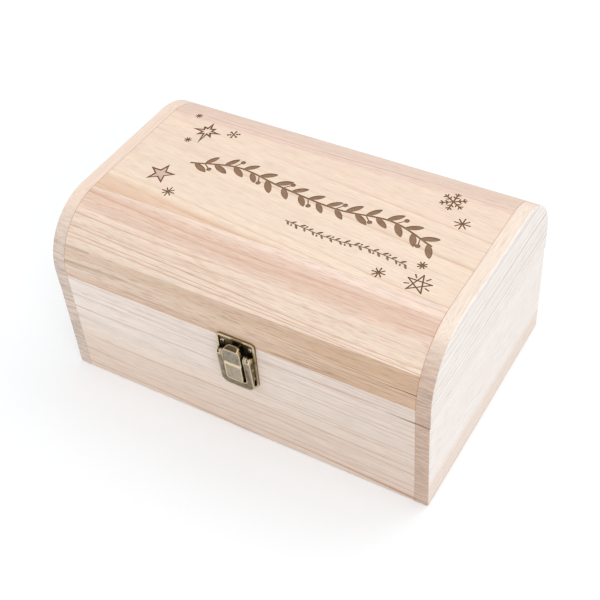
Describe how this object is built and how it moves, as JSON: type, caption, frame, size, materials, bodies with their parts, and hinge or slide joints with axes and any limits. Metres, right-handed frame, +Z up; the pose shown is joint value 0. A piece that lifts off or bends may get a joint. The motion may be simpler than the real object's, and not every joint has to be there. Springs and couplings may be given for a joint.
{
  "type": "keepsake box",
  "caption": "Domed wooden keepsake box: a hinged lid with rounded shoulders and engraved ornaments closes on a plain base and is held by a toggle latch.",
  "frame": {"origin": "middle of the underside, on the face that the box stands on", "axes": "+X along the length, the front with the latch faces -Y, +Z up"},
  "size_m": [0.301, 0.2088, 0.144],
  "materials": {
    "pale_board": "bare sanded paulownia, whitish pink-cream",
    "end_board": "bare sanded paulownia, near-white grey",
    "brown_stave": "bare sanded paulownia, tan-brown heartwood",
    "lid_board": "bare sanded paulownia, peach-cream with tan streaks",
    "plywood": "thin plywood sheet",
    "antique_bronze": "antique bronze, dark in the recesses and worn on the edges",
    "bronzed_steel": "bronzed steel"
  },
  "bodies": {
    "base": {"base_front_panel": "pale_board", "base_back_panel": "pale_board", "base_left_end": "end_board", "base_right_end": "end_board", "base_bottom_panel": "plywood", "hinge_left_base_leaf": "antique_bronze", "hinge_right_base_leaf": "antique_bronze", "hinge_left_pin": "bronzed_steel", "hinge_right_pin": "bronzed_steel", "hinge_base_screws": "bronzed_steel", "latch_base_plate": "antique_bronze", "latch_base_screws": "bronzed_steel"},
    "lid": {"lid_front_rail": "pale_board", "lid_back_rail": "pale_board", "lid_left_end": "end_board", "lid_right_end": "end_board", "lid_front_lower_stave": "brown_stave", "lid_back_lower_stave": "brown_stave", "lid_front_upper_stave": "lid_board", "lid_back_upper_stave": "lid_board", "lid_top_board": "lid_board", "hinge_left_lid_leaf": "antique_bronze", "hinge_right_lid_leaf": "antique_bronze", "hinge_lid_screws": "bronzed_steel", "latch_catch_plate": "antique_bronze", "latch_catch_screws": "bronzed_steel"},
    "latch_lever": {"latch_lever": "antique_bronze", "latch_lever_pin": "bronzed_steel", "latch_hook_pin": "bronzed_steel"},
    "latch_hook": {"latch_hook": "antique_bronze"}
  },
  "joints": [
    {"name": "lid_hinge", "type": "hinge", "parent": "base", "child": "lid", "pos_m": [0, 0.0994, 0.0825], "axis": [-1, 0, 0], "range_deg": [0, 100]},
    {"name": "latch_lever_pivot", "type": "hinge", "parent": "base", "child": "latch_lever", "pos_m": [0.0062, -0.1015, 0.0853], "axis": [-1, 0, 0], "range_deg": [0, 150]},
    {"name": "latch_hook_pivot", "type": "hinge", "parent": "latch_lever", "child": "latch_hook", "pos_m": [0.0062, -0.1006, 0.076], "axis": [-1, 0, 0], "range_deg": [-150, 0]}
  ],
  "couplings": [
    {"joint": "latch_hook_pivot", "follows": "latch_lever_pivot", "ratio": -1}
  ]
}
